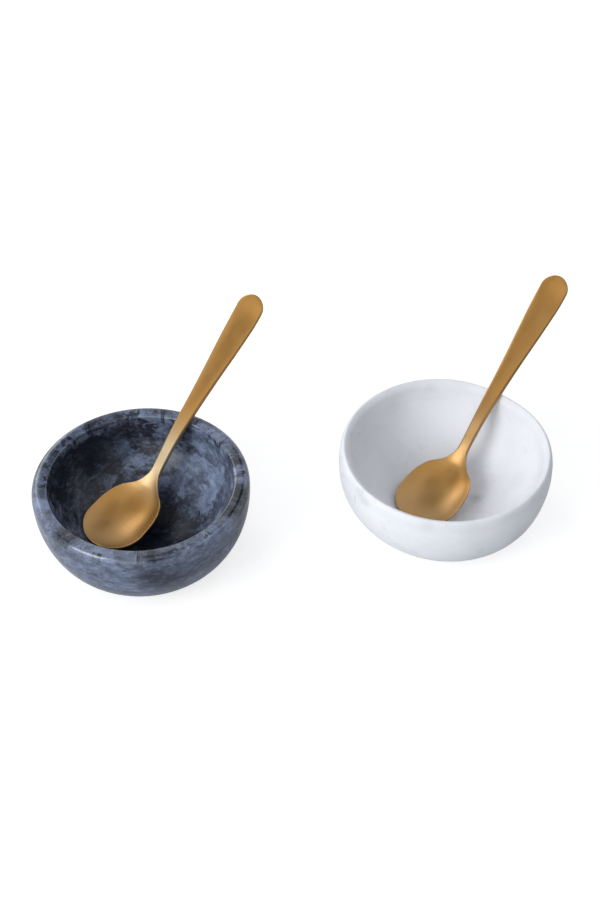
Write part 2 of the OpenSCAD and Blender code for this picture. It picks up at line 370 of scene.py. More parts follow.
def bowl_mesh(name, b, centre, seed):
    """A turned and hand-ground bowl about the place of its foot."""
    outline = bowl_outline(b)
    points = [centre.copy()]
    for r, z in outline:
        for i in range(ROUND_STEPS):
            points.append(centre + hand_ground(b, r, z, 2 * math.pi * i / ROUND_STEPS, seed))
    points.append(centre + Vector((0, 0, b.floor_t)))
    last = len(points) - 1
    faces = []
    for i in range(ROUND_STEPS):
        j = (i + 1) % ROUND_STEPS
        faces.append((0, 1 + j, 1 + i))
        for k in range(len(outline) - 1):
            a = 1 + k * ROUND_STEPS
            faces.append((a + i, a + j, a + ROUND_STEPS + j, a + ROUND_STEPS + i))
        a = last - ROUND_STEPS
        faces.append((a + i, a + j, last))
    piece = new_piece(name, points, faces)
    worked = piece.data.attributes.new("worked_face", "FLOAT", "POINT")
    belly = FOOT_RINGS + BELLY_STEPS
    marks = [ease(k, belly, belly + SHOULDER_STEPS) for k in range(len(outline))]
    spread = [0.0] + [m for m in marks for _ in range(ROUND_STEPS)] + [1.0]
    worked.data.foreach_set("value", spread)
    return piece


# Fullness of the scoop's dish across, 2 being a parabola
DISH_POWER = 2.4
# Painted highlight: how far the brass is painted pale along the spoon, in the scoop and at the neck
SCOOP_PAINTED_HIGHLIGHT = [(0, 0.3), (0.08, 0.28), (0.18, 0.1), (0.26, 0), (1, 0)]
NECK_PAINTED_HIGHLIGHT = [(0, 0), (0.23, 0), (0.32, 0.7), (0.41, 0.95), (0.49, 0.45), (0.58, 0), (1, 0)]
TIP_RINGS = 14
SCOOP_RINGS = 44
HANDLE_RINGS = 64
END_RINGS = 12
FLAT_STEPS = 9
EDGE_STEPS = 6


class SpoonForm:
    """The spoon's form, from its sizes: u runs from the tip, x across and z up."""

    def __init__(self, sizes):
        self.s = sizes

    def half_w(self, u):
        s = self.s
        if u < s.scoop_l:
            spread = (s.scoop_w - s.neck_w) * smooth(SCOOP_WIDTH_SHARES, u / s.scoop_l)
        else:
            along = (u - s.scoop_l) / (s.spoon_l - s.scoop_l)
            spread = (s.end_w - s.neck_w) * smooth(HANDLE_WIDTH_SHARES, along)
        return (s.neck_w + spread) / 2 * opened(u, s.tip_l) * opened(s.spoon_l - u, s.end_l)

    def thick(self, u):
        s = self.s
        if u < s.scoop_l:
            return s.scoop_t + (s.neck_t - s.scoop_t) * ease(u, s.scoop_l / 2, s.scoop_l)
        return s.neck_t + (s.handle_t - s.neck_t) * ease(u, s.scoop_l, s.spoon_l - s.end_l)

    def edge_z(self, u):
        s = self.s
        if u < s.heel_l:
            return 0.0
        return s.handle_rise * smooth(RISE_SHARES, (u - s.heel_l) / (s.spoon_l - s.heel_l))

    def dip(self, u):
        s = self.s
        if u < s.scoop_l:
            return s.scoop_depth * smooth(SCOOP_DEPTH_SHARES, u / s.scoop_l)
        return -s.crown_h * ease(u, s.scoop_l, (s.scoop_l + s.spoon_l) / 2)

    # Painted light along the spoon: highlight in the scoop, and at the neck as much as asked
    def painted_light(self, u, neck):
        along = u / self.s.spoon_l
        return smooth(SCOOP_PAINTED_HIGHLIGHT, along) + neck * smooth(NECK_PAINTED_HIGHLIGHT, along)

    def round_w(self, u):
        return min(self.half_w(u), EDGE_ROUND_SHARE * self.thick(u))

    def half_t(self, u):
        s = self.s
        return (
            self.thick(u) / 2
            * opened(u, EDGE_ROUND_SHARE * s.scoop_t)
            * opened(s.spoon_l - u, EDGE_ROUND_SHARE * s.handle_t)
        )

    def point(self, u, x, side):
        w, r = self.half_w(u), self.round_w(u)
        over = max(0.0, abs(x) - (w - r))
        round_off = math.sqrt(max(0.0, 1 - (over / r) ** 2))
        sag = self.dip(u) * (1 - abs(x / w) ** DISH_POWER)
        z = self.edge_z(u) - sag + side * round_off * self.half_t(u)
        return Vector((u, x, z))

    def ring(self, u):
        w, r = self.half_w(u), self.round_w(u)
        across = [(w - r) * i / FLAT_STEPS for i in range(FLAT_STEPS + 1)]
        across += [w - r + r * math.sin(RIGHT_ANGLE * s) for s in steps(EDGE_STEPS)]
        right = [(x, 1) for x in across] + [(x, -1) for x in across[-2::-1]]
        left = [(-x, -1) for x in across[1:]] + [(-x, 1) for x in across[-2:0:-1]]
        return [self.point(u, x, side) for x, side in right + left]

    def ring_places(self):
        s = self.s
        body = s.spoon_l - s.end_l - s.scoop_l
        return (
            [s.tip_l * (1 - math.cos(RIGHT_ANGLE * t)) for t in steps(TIP_RINGS)]
            + [s.tip_l + (s.scoop_l - s.tip_l) * t for t in steps(SCOOP_RINGS)]
            + [s.scoop_l + body * t for t in steps(HANDLE_RINGS)]
            + [s.spoon_l - s.end_l * (1 - math.sin(RIGHT_ANGLE * t)) for t in steps(END_RINGS)[:-1]]
        )


# A height above all the pieces, for rays to start at
SKY_Z = 0.5


def stone_of(name):
    """A made bowl's stone, for rays to be cast at."""
    piece = bpy.data.objects.get(name)
    if piece is None:
        raise RuntimeError(f"{name} has to be made before its spoon is laid")
    mesh = piece.data
    points = [v.co for v in mesh.vertices]
    return BVHTree.FromPolygons(points, [tuple(p.vertices) for p in mesh.polygons])


def stone_top_z(stone, x, y):
    """Height of the stone's top surface at a place, or well below the table beside it."""
    hit = stone.ray_cast(Vector((x, y, SKY_Z)), Vector((0, 0, -1)))[0]
    return hit.z if hit else -SKY_Z


def laid(foot, tip_x, tip_y, heading, pitch):
    """Turn and shift of a spoon with its tip at a place over the bowl's foot."""
    turn = Matrix.Rotation(heading, 4, "Z") @ Matrix.Rotation(-pitch, 4, "Y")
    return Matrix.Translation(foot + Vector((tip_x, tip_y, 0))) @ turn


def tip_height(points, stone, lay):
    """How high the tip has to be for each of these points to clear the stone."""
    return max(stone_top_z(stone, q.x, q.y) - q.z for q in (lay @ p for p in points))


# The pitches between which a spoon's rest is looked for
PITCH_LOW = math.radians(-15)
PITCH_HIGH = math.radians(40)
PITCH_STEPS = 18
UNDER_STEPS = 120
# Where a spoon's underside is felt across, as shares of its half width
UNDER_SHARES = (-1.0, -0.88, -0.75, -0.5, -0.25, 0.0, 0.25, 0.5, 0.75, 0.88, 1.0)


def resting_place(form, stone, foot, tip_x, tip_y, heading, gap):
    """Where the spoon lies when its scoop and its handle bear on the stone together."""
    s = form.s
    bands = ((0.0, s.scoop_l), (s.scoop_l, s.spoon_l - s.end_l))
    unders = []
    for start, stop in bands:
        places = [start + (stop - start) * t for t in steps(UNDER_STEPS)]
        felt = [(u, form.half_w(u) * a) for u in places for a in UNDER_SHARES]
        unders.append([form.point(u, x, -1) for u, x in felt])
    low, high = PITCH_LOW, PITCH_HIGH
    for _ in range(PITCH_STEPS):
        pitch = (low + high) / 2
        lay = laid(foot, tip_x, tip_y, heading, pitch)
        scoop, handle = (tip_height(under, stone, lay) for under in unders)
        if handle > scoop:
            low = pitch
        else:
            high = pitch
    return Matrix.Translation((0, 0, max(scoop, handle) + gap)) @ lay


def spoon_mesh(name, form, lay, lit):
    """A spoon laid in its place. Its own along, across and up are kept for the finish."""
    rings = [form.ring(u) for u in form.ring_places()]
    n = len(rings[0])
    own = [p for ring in rings for p in ring]
    end = form.s.spoon_l
    own += [Vector((0, 0, 0)), Vector((end, 0, form.edge_z(end)))]
    tip_point, end_point = len(own) - 2, len(own) - 1
    faces = []
    for i in range(n):
        j = (i + 1) % n
        faces.append((tip_point, i, j))
        for k in range(len(rings) - 1):
            a = k * n
            faces.append((a + j, a + i, a + n + i, a + n + j))
        a = (len(rings) - 1) * n
        faces.append((end_point, a + j, a + i))
    piece = new_piece(name, [lay @ p for p in own], faces)
    place = piece.data.attributes.new("spoon_place", "FLOAT_VECTOR", "POINT")
    place.data.foreach_set("vector", [c for p in own for c in p])
    # Painted light kept on the mesh: highlight, and painted shade where it is less than nothing
    light_paint = piece.data.attributes.new("rubbed_neck", "FLOAT", "POINT")
    light_paint.data.foreach_set("value", [form.painted_light(p.x, lit) for p in own])
    return piece


def add(tree, kind, settings=None, **inputs):
    """A node with its settings. Each input named gets a plain value or another node's socket."""
    made = tree.nodes.new(kind)
    for key, value in (settings or {}).items():
        setattr(made, key, value)
    for key, value in inputs.items():
        give(tree, made.inputs[key.replace("_", " ")], value)
    return made


def give(tree, socket, value):
    """A socket gets a plain value, a colour of three shares or a wire from another socket."""
    if isinstance(value, bpy.types.NodeSocket):
        tree.links.new(value, socket)
    elif socket.type == "RGBA":
        socket.default_value = (*value, 1.0)
    else:
        socket.default_value = value


def in_order(tree, kind, settings, *values):
    """First output of a node whose inputs get these values in their order."""
    made = add(tree, kind, settings)
    for socket, value in zip(made.inputs, values):
        give(tree, socket, value)
    return made.outputs[0]


def maths(tree, operation, *values, clamp=False):
    """Result of a maths node, given sockets or numbers."""
    return in_order(tree, "ShaderNodeMath", {"operation": operation, "use_clamp": clamp}, *values)


def times(tree, a, b, more=0.0):
    """A product, with more added to it."""
    return maths(tree, "MULTIPLY_ADD", a, b, more)


def vector_sum(tree, operation, a, b=None):
    """Result of a vector maths node. To scale a vector, b is a number."""
    made = add(tree, "ShaderNodeVectorMath", {"operation": operation})
    give(tree, made.inputs[0], a)
    if b is not None:
        give(tree, made.inputs["Scale" if operation == "SCALE" else 1], b)
    return made.outputs["Value" if operation == "DISTANCE" else "Vector"]


# Where a mix node has its sockets A, B and result, for each kind of data
MIX_SOCKETS = {"FLOAT": (2, 3, 0), "RGBA": (6, 7, 2)}


def mixed(tree, factor, a, b, kind="RGBA"):
    """A mix of two colours, or of two plain values."""
    made = add(tree, "ShaderNodeMix", {"data_type": kind}, Factor=factor)
    first, second, result = MIX_SOCKETS[kind]
    give(tree, made.inputs[first], a)
    give(tree, made.inputs[second], b)
    return made.outputs[result]


def ranged(tree, value, low=0.0, high=1.0, to_low=0.0, to_high=1.0, eased=False):
    """A value carried over from one range to another."""
    settings = {"interpolation_type": "SMOOTHSTEP" if eased else "LINEAR"}
    made = add(
        tree, "ShaderNodeMapRange", settings, Value=value, From_Min=low, From_Max=high,
        To_Min=to_low, To_Max=to_high,
    )
    return made.outputs["Result"]


def noise_texture(tree, place, scale, detail, roughness, distortion=0.0):
    """Outputs of a noise texture."""
    made = add(
        tree, "ShaderNodeTexNoise", Vector=place, Scale=scale, Detail=detail, Roughness=roughness,
        Distortion=distortion,
    )
    return made.outputs


def attribute(tree, name):
    """Outputs that carry an attribute of the mesh."""
    return add(tree, "ShaderNodeAttribute", {"attribute_name": name}).outputs


COLUMN_WIDTH = 220
ROW_HEIGHT = 200


def lay_out(tree):
    """Sets the nodes out on their sheet, each in a column left of all that it feeds."""
    columns = dict.fromkeys(tree.nodes.keys(), 0)
    for _ in tree.nodes:
        for link in tree.links:
            start, end = link.from_node.name, link.to_node.name
            columns[start] = max(columns[start], columns[end] + 1)
    rows = dict.fromkeys(columns.values(), 0)
    for name, column in columns.items():
        tree.nodes[name].location = (-COLUMN_WIDTH * column, -ROW_HEIGHT * rows[column])
        rows[column] += 1


def blank_tree(owner):
    """The empty node tree of a material or world."""
    owner.use_nodes = True
    owner.node_tree.nodes.clear()
    return owner.node_tree


def new_group(name, *outputs, **inputs):
    """An empty node group that takes a vector and numbers and gives numbers."""
    group = bpy.data.node_groups.new(name, "ShaderNodeTree")
    sockets = group.interface
    sockets.new_socket(name="Vector", in_out="INPUT", socket_type="NodeSocketVector")
    for key, value in inputs.items():
        label = key.replace("_", " ")
        made = sockets.new_socket(name=label, in_out="INPUT", socket_type="NodeSocketFloat")
        made.default_value = value
    for label in outputs:
        sockets.new_socket(name=label, in_out="OUTPUT", socket_type="NodeSocketFloat")
    return group, add(group, "NodeGroupInput").outputs, add(group, "NodeGroupOutput").inputs


def cloud_group():
    """Folded clouds, soft-edged patches and thin veins, as marble has them."""
    group, given, out = new_group(
        "Marble clouds", "Cloud", "Patch", "Vein", Fold=0.03, Cloud_scale=60.0, Cloud_low=0.34,
        Cloud_high=0.66, Patch_scale=90.0, Patch_level=0.52, Patch_softness=0.12, Vein_scale=45.0,
        Vein_width=0.02,
    )
    place = given["Vector"]
    fold = noise_texture(group, place, scale=42.0, detail=4.0, roughness=0.6)["Color"]
    centred = vector_sum(group, "SUBTRACT", fold, (0.5, 0.5, 0.5))
    place = vector_sum(group, "ADD", place, vector_sum(group, "SCALE", centred, given["Fold"]))

    cloud = noise_texture(group, place, given["Cloud scale"], 10.0, 0.64, 0.25)["Fac"]
    spread = ranged(group, cloud, given["Cloud low"], given["Cloud high"], eased=True)
    give(group, out["Cloud"], spread)

    patch = noise_texture(group, place, given["Patch scale"], 10.0, 0.68, 0.25)["Fac"]
    level = given["Patch level"]
    top = maths(group, "ADD", level, given["Patch softness"])
    give(group, out["Patch"], ranged(group, patch, level, top, eased=True))

    vein = noise_texture(group, place, given["Vein scale"], 6.0, 0.55, 0.8)["Fac"]
    depth = maths(group, "ABSOLUTE", maths(group, "SUBTRACT", vein, 0.5))
    give(group, out["Vein"], ranged(group, depth, 0.0, given["Vein width"], 1.0, 0.0))
    return group


def grain_group():
    """Fine grain of a honed or satin face: a height for a bump, and a value that varies."""
    group, given, out = new_group(
        "Honed grain", "Height", "Value", Scale=2500.0, Wave_scale=120.0, Wave_share=0.5
    )
    place = given["Vector"]
    fine = noise_texture(group, place, given["Scale"], 3.0, 0.6)["Fac"]
    wave = noise_texture(group, place, given["Wave scale"], 2.0, 0.5)["Fac"]
    give(group, out["Height"], mixed(group, given["Wave share"], fine, wave, "FLOAT"))
    give(group, out["Value"], wave)
    return group


def speck_group():
    """Small round specks or pits: 1 in the middle of each, 0 between them."""
    group, given, out = new_group("Specks", "Mask", Scale=400.0, Radius=0.08, Share=0.3)
    cells = add(
        group, "ShaderNodeTexVoronoi", {"feature": "F1"}, Vector=given["Vector"],
        Scale=given["Scale"],
    ).outputs
    near = ranged(group, cells["Distance"], 0.0, given["Radius"], 1.0, 0.0, eased=True)
    chance = add(group, "ShaderNodeSeparateColor", Color=cells["Color"]).outputs[0]
    picked = maths(group, "LESS_THAN", chance, given["Share"])
    give(group, out["Mask"], times(group, near, picked))
    return group


GROUP_MAKERS = {"Marble clouds": cloud_group, "Honed grain": grain_group, "Specks": speck_group}


def from_group(tree, name, **inputs):
    """Outputs of a shared node group, which is made when it is first used."""
    group = bpy.data.node_groups.get(name)
    if group is None:
        group = GROUP_MAKERS[name]()
        lay_out(group)
    return add(tree, "ShaderNodeGroup", {"node_tree": group}, **inputs).outputs


def new_material(name):
    """An empty material and its tree."""
    material = bpy.data.materials.new(name)
    return material, blank_tree(material)


def shown(tree, kind, surface):
    """Gives a tree its output node and sets the tree out."""
    add(tree, kind, Surface=surface)
    lay_out(tree)


def finish_face(tree, height, strength, distance, **inputs):
    """Gives a material its Principled shader, with a fine relief."""
    relief = add(tree, "ShaderNodeBump", Height=height, Strength=strength, Distance=distance)
    shader = add(tree, "ShaderNodeBsdfPrincipled", Normal=relief.outputs[0], **inputs)
    shown(tree, "ShaderNodeOutputMaterial", shader.outputs[0])


def object_place(tree, offset, stretch, turn):
    """Places on the stone in metres: plain, and shifted, turned and stretched along its bedding."""
    place = add(tree, "ShaderNodeTexCoord").outputs["Object"]
    mapping = add(
        tree, "ShaderNodeMapping", Vector=place, Location=offset, Rotation=turn, Scale=stretch
    )
    return place, mapping.outputs[0]


def seams(tree, place, rows, foot=(0, 0, 0)):
    """What a table's places add together: each most near its middle, and nothing far off."""
    total = 0.0
    for centre, near, far, most in rows:
        off = vector_sum(tree, "DISTANCE", place, Vector(foot) + Vector(centre))
        added = ranged(tree, off, near, far, most, 0.0, eased=True)
        total = maths(tree, "ADD", total, added)
    return total


def near_rim(tree, place, rim_z, none, full):
    """A mask that rises from nothing to one between two depths under the rim."""
    height = add(tree, "ShaderNodeSeparateXYZ", Vector=place).outputs["Z"]
    return ranged(tree, height, rim_z - none, rim_z - full, eased=True)


# Places of the dark bowl's block, partly its own dark patches and partly painted shade where the
# basin lies in shadow, on its left and back walls and on its floor right of the spoon: middle from
# the table under the bowl's middle, near and far distance, and the dark each adds. A negative one
# is a paler place; the one on the basin's right wall is painted light where the lamp falls on it.
DARK_PLACES_AND_PAINTED_SHADE = (
    ((-0.0356, 0.008, 0.0285), 0.012, 0.034, 0.11),
    ((-0.0195, 0.032, 0.029), 0.007, 0.02, 0.12),
    ((0.006, 0.036, 0.03), 0.005, 0.019, 0.09),
    ((0.0095, -0.004, 0.009), 0.008, 0.027, 0.15),
    ((0.012, -0.042, 0.028), 0.004, 0.022, 0.11),
    ((0.03, 0.013, 0.024), 0.01, 0.03, -0.14),
    ((0.022, -0.03, 0.028), 0.004, 0.016, -0.05),
    ((-0.043, -0.016, 0.028), 0.006, 0.024, -0.13),
    ((-0.01, -0.04, 0.016), 0.006, 0.022, -0.06),
)
# The same for the rim, where the cut through the block shows finer marks
RIM_PLACES = (
    ((-0.03, -0.033, 0.037), 0.002, 0.009, 0.06),
    ((0.04, -0.012, 0.0385), 0.002, 0.013, 0.08),
    ((0.0385, 0.012, 0.0385), 0.002, 0.01, 0.05),
    ((-0.0385, -0.0157, 0.0386), 0.003, 0.016, -0.15),
    ((-0.005, -0.042, 0.0375), 0.002, 0.014, -0.07),
    ((0.022, -0.035, 0.0385), 0.002, 0.01, -0.04),
)
# How the block's bedding is shifted, stretched and turned in the dark bowl
DARK_BEDDING = ((0.031, 0.012, 0.004), (1.0, 1.0, 1.9), (0.15, 0.2, 0.5))
# Depths under the dark rim where its own marks begin and where they are full
DARK_RIM_NONE, DARK_RIM_FULL = 0.0075, 0.002
# How far the rim is spared the dark places and their painted shade
RIM_SPARED = 0.75
# How strongly a dark place thins the pale clouds, and how strongly it darkens all around it,
# partly as painted shade
PLACE_CLOUD = 1.5
PLACE_PAINTED_SHADE = 4.2
# Noise level over which the dark patches show, and how much higher it is on the wall outside
PATCH_LEVEL = 0.525
OUTSIDE_LEVEL = 0.03
# Softness of the patches' edges, and how much softer they are on the wall outside
PATCH_SOFTNESS = 0.12
OUTSIDE_SOFTNESS = 0.1
# How dark the patches are, and how much less dark on the wall outside
PATCH_STRENGTH = 0.92
OUTSIDE_WEAKER = 0.5
# How far the clouds are evened out on the wall outside
OUTSIDE_EVEN = 0.5
BLOOM_STRENGTH = 0.45
VEIN_STRENGTH = 0.6
# How much rougher the dark bowl's basin is than its polished rim and wall
BASIN_SATIN = 0.14
# Wax on the dark rim, and how rough it is
RIM_WAX = 0.55
WAX_ROUGHNESS = 0.07


def dark_marble(colours, rim_z):
    """Honed and waxed dark marble: slate-blue clouds, near-black patches and fine pale grains."""
    material, tree = new_material("dark_marble")
    plain, place = object_place(tree, *DARK_BEDDING)
    worked = attribute(tree, "worked_face")["Fac"]
    outside = maths(tree, "SUBTRACT", 1.0, worked)
    top = near_rim(tree, plain, rim_z, DARK_RIM_NONE, DARK_RIM_FULL)

    # Dark places: partly the block's own dark, partly painted shade and painted light in the basin
    dark = seams(tree, plain, DARK_PLACES_AND_PAINTED_SHADE)
    spared = times(tree, top, -RIM_SPARED, 1.0)
    cut_marks = seams(tree, plain, RIM_PLACES)
    dark = times(tree, dark, spared, cut_marks)
    level = maths(tree, "SUBTRACT", PATCH_LEVEL, dark)
    clouds = from_group(
        tree, "Marble clouds", Vector=place, Fold=0.045, Cloud_scale=62.0, Cloud_low=0.38,
        Cloud_high=0.64, Patch_scale=100.0,
        Patch_level=times(tree, outside, OUTSIDE_LEVEL, level),
        Patch_softness=times(tree, outside, OUTSIDE_SOFTNESS, PATCH_SOFTNESS),
        Vein_scale=55.0, Vein_width=0.012,
    )
    thinned = times(tree, dark, -PLACE_CLOUD, clouds["Cloud"])
    evener = times(tree, outside, OUTSIDE_EVEN)
    cloudy = mixed(tree, evener, thinned, 0.5, "FLOAT")
    body = mixed(tree, cloudy, colours.dark_mid, colours.dark_light)

    fine = from_group(
        tree, "Honed grain", Vector=place, Scale=1000.0, Wave_scale=300.0, Wave_share=0.55
    )
    grainy = ranged(tree, fine["Height"], 0.5, 0.8)
    pale = times(tree, grainy, BLOOM_STRENGTH)
    bloomed = mixed(tree, pale, body, colours.dark_bloom)
    # Painted shade, together with the block's own dark, deepens the body about the dark places
    dark_and_painted_shade = times(tree, dark, PLACE_PAINTED_SHADE)
    darkened_and_shaded = mixed(tree, dark_and_painted_shade, bloomed, colours.dark_deep)
    flecks = rim_flecks(tree, plain, top, cut_marks)
    patches = maths(tree, "MAXIMUM", clouds["Patch"], flecks)
    weight = times(tree, outside, -OUTSIDE_WEAKER, PATCH_STRENGTH)
    patches = times(tree, patches, weight)
    patched = mixed(tree, patches, darkened_and_shaded, colours.dark_deep)
    thin = times(tree, clouds["Vein"], VEIN_STRENGTH)
    veined = mixed(tree, thin, patched, colours.dark_deep)
    mottle = noise_texture(tree, place, scale=150.0, detail=12.0, roughness=0.75)["Fac"]
    tone = ranged(tree, mottle, 0.35, 0.65, 0.64, 1.32)
    toned = vector_sum(tree, "SCALE", veined, tone)

    honed = from_group(
        tree, "Honed grain", Vector=place, Scale=1800.0, Wave_scale=150.0, Wave_share=0.3
    )
    rough = ranged(tree, honed["Value"], to_low=0.07, to_high=0.19)
    below_rim = maths(tree, "SUBTRACT", 1.0, top)
    basin = times(tree, below_rim, worked)
    satin = times(tree, basin, BASIN_SATIN, rough)
    waxed = times(tree, top, RIM_WAX)
    finish_face(
        tree, honed["Height"], strength=0.1, distance=0.0002, Base_Color=toned, Roughness=satin,
        Coat_Weight=waxed, Coat_Roughness=WAX_ROUGHNESS, Specular_IOR_Level=0.29,
    )
    return material


# Noise level over which the rim's flecks show
FLECK_LEVEL = 0.515
# The flecks are drawn from a ring of this radius, with this share of the stone's own place
FLECK_RING = 0.028
FLECK_OWN_SHARE = 0.38


def rim_flecks(tree, plain, top, cut_marks):
    """Near-black flecks that the cut through the block shows, drawn out across the dark rim."""
    flat = vector_sum(tree, "MULTIPLY", plain, (1.0, 1.0, 0.0))
    outward = vector_sum(tree, "NORMALIZE", flat)
    ring = vector_sum(tree, "SCALE", outward, FLECK_RING)
    own = vector_sum(tree, "SCALE", plain, FLECK_OWN_SHARE)
    flecks = from_group(
        tree, "Marble clouds", Vector=vector_sum(tree, "ADD", ring, own), Fold=0.02,
        Patch_scale=210.0, Patch_level=maths(tree, "SUBTRACT", FLECK_LEVEL, cut_marks),
        Patch_softness=0.08,
    )
    return times(tree, flecks["Patch"], top)


# Grey smudges on the white stone, the first and strongest darkening the basin floor just right of
# the scoop: middle from its foot, near and far distance, and strength
GREY_SPOTS = (
    ((0.0152, -0.0007, 0.0071), 0.0004, 0.0042, 0.9),
    ((-0.0102, -0.043, 0.0352), 0.0004, 0.0045, 0.35),
    ((0.0168, 0.0091, 0.0083), 0.001, 0.009, 0.3),
    ((-0.018, 0.033, 0.028), 0.001, 0.009, 0.25),
    ((0.026, -0.032, 0.02), 0.001, 0.01, 0.4),
    ((0.0323, 0.0012, 0.0163), 0.001, 0.007, 0.2),
)
WHITE_BEDDING = ((0.02, 0.05, 0.01), (1.0, 1.0, 1.3), (0.4, 0.2, 0.3))
# Depths under the white rim where its painted shade begins and where it is full
WHITE_RIM_NONE, WHITE_RIM_FULL = 0.008, 0.002
# How strongly the clouds shade the white stone, and how strongly the rim's top is darkened as
# painted shade
CLOUD_SHADE = 0.5
RIM_PAINTED_SHADE = 0.5
HAIR_STRENGTH = 0.3
SPECK_STRENGTH = 0.4


def white_marble(colours, foot, rim_z):
    """Honed white marble: even and milky, with faint cloudy shades and a few grey specks."""
    material, tree = new_material("white_marble")
    plain, place = object_place(tree, *WHITE_BEDDING)
    clouds = from_group(
        tree, "Marble clouds", Vector=place, Fold=0.03, Cloud_scale=44.0, Cloud_low=0.38,
        Cloud_high=0.68, Patch_scale=60.0, Patch_level=0.55, Patch_softness=0.1, Vein_scale=20.0,
        Vein_width=0.02,
    )
    # The rim's top is painted greyer: painted shade where little light falls from above
    top = near_rim(tree, plain, rim_z, WHITE_RIM_NONE, WHITE_RIM_FULL)
    painted_rim_shade = times(tree, top, RIM_PAINTED_SHADE)
    shade = times(tree, clouds["Cloud"], CLOUD_SHADE, painted_rim_shade)
    body = mixed(tree, shade, colours.white_body, colours.white_shade)
    hair = times(tree, clouds["Vein"], clouds["Patch"])
    faint = times(tree, hair, HAIR_STRENGTH)
    wisps = noise_texture(tree, place, scale=420.0, detail=5.0, roughness=0.7)["Fac"]
    spots = seams(tree, plain, GREY_SPOTS, foot)
    faint = times(tree, spots, wisps, faint)
    veined = mixed(tree, faint, body, colours.white_vein)
    specks = from_group(tree, "Specks", Vector=place, Scale=110.0, Radius=0.06, Share=0.05)
    dim = times(tree, specks["Mask"], SPECK_STRENGTH)
    specked = mixed(tree, dim, veined, colours.white_vein)

    grain = from_group(
        tree, "Honed grain", Vector=place, Scale=1500.0, Wave_scale=120.0, Wave_share=0.4
    )
    rough = ranged(tree, grain["Value"], to_low=0.5, to_high=0.64)
    finish_face(
        tree, grain["Height"], strength=0.15, distance=0.0002, Base_Color=specked,
        Roughness=rough, Specular_IOR_Level=0.32, Subsurface_Weight=0.25,
        Subsurface_Radius=(1.0, 0.9, 0.8), Subsurface_Scale=0.003,
    )
    return material


# How far the brushing is drawn out along the spoon
BRUSH_STRETCH = (0.06, 1.0, 1.0)
# How much rougher the brass is where it is painted pale as a highlight
PAINTED_LIGHT_SOFTER = 0.12


def satin_brass(colours):
    """Satin brass: warm and clean patches, brushing along the spoon and a few dull pits."""
    material, tree = new_material("spoon_brass")
    place = attribute(tree, "spoon_place")["Vector"]
    # Painted light along the spoon: above nothing painted highlight, below it painted shade
    neck = attribute(tree, "rubbed_neck")["Fac"]
    patches = noise_texture(tree, place, scale=70.0, detail=4.0, roughness=0.55)["Fac"]
    body = mixed(tree, patches, colours.warm, colours.bright)
    pits = from_group(tree, "Specks", Vector=place, Scale=260.0, Radius=0.07, Share=0.12)["Mask"]
    pitted = mixed(tree, pits, body, colours.dull)
    # Painted shade dims the white spoon's neck, whose highlight is weaker
    shading = maths(tree, "MULTIPLY", neck, -1.0, clamp=True)
    neck_shaded = mixed(tree, shading, pitted, colours.painted_neck_shade)
    # Painted highlight: the neck and scoop are painted pale
    lit = mixed(tree, neck, neck_shaded, colours.lit)

    brushed = add(tree, "ShaderNodeMapping", Vector=place, Scale=BRUSH_STRETCH).outputs[0]
    lines = from_group(
        tree, "Honed grain", Vector=brushed, Scale=3500.0, Wave_scale=300.0, Wave_share=0.25
    )
    rough = ranged(tree, lines["Value"], to_low=0.33, to_high=0.46)
    softer = maths(tree, "MULTIPLY", neck, PAINTED_LIGHT_SOFTER, clamp=True)
    finish_face(
        tree, maths(tree, "SUBTRACT", lines["Height"], pits), strength=0.12,
        distance=0.0001, Base_Color=lit, Roughness=maths(tree, "ADD", rough, softer),
        Metallic=1.0, Coat_Weight=0.4, Coat_Roughness=0.3,
    )
    return material


def foot_centre(node):
    """Middle of a bowl's foot, from the frame."""
    low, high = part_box(node)
    return Vector(((low.x + high.x) / 2, (low.y + high.y) / 2, low.z))


DARK_SEED = 3.1
WHITE_SEED = 7.4


class SALT_OT_dark_bowl(Operator):
    """Make the dark marble bowl"""

    bl_idname = "salt_cellar.dark_bowl"
    bl_label = "Dark bowl"

    def execute(self, context):
        scene = context.scene
        piece = bowl_mesh("dark_bowl_stone", scene.salt_dark, foot_centre("dark_bowl"), DARK_SEED)
        material = dark_marble(scene.salt_stone, scene.salt_dark.height)
        dress(piece, "dark_bowl", "dark_bowl", material)
        return {"FINISHED"}


class SALT_OT_white_bowl(Operator):
    """Make the white marble bowl"""

    bl_idname = "salt_cellar.white_bowl"
    bl_label = "White bowl"

    def execute(self, context):
        scene = context.scene
        piece = bowl_mesh("white_bowl_stone", scene.salt_white, foot_centre("white_bowl"), WHITE_SEED)
        foot, rim_z = foot_centre("white_bowl"), scene.salt_white.height
        material = white_marble(scene.salt_stone, foot, rim_z)
        dress(piece, "white_bowl", "white_bowl", material)
        return {"FINISHED"}


class SALT_OT_spoons(Operator):
    """Make the two brass spoons and lay each in its bowl"""

    bl_idname = "salt_cellar.spoons"
    bl_label = "Spoons"

    def execute(self, context):
        scene = context.scene
        rest = scene.salt_rest
        form = SpoonForm(scene.salt_spoon)
        material = satin_brass(scene.salt_brass)
        for bowl, spoon, x, y, heading, lit in (
            ("dark_bowl", "dark_spoon",
             rest.dark_tip_x, rest.dark_tip_y, rest.dark_heading, rest.dark_painted_neck_light),
            ("white_bowl", "white_spoon",
             rest.white_tip_x, rest.white_tip_y, rest.white_heading, rest.white_painted_neck_light),
        ):
            stone, foot = stone_of(bowl + "_stone"), foot_centre(bowl)
            lay = resting_place(form, stone, foot, x, y, heading, rest.rest_gap)
            piece = spoon_mesh(spoon + "_brass", form, lay, lit)
            dress(piece, spoon, spoon, material)
        return {"FINISHED"}


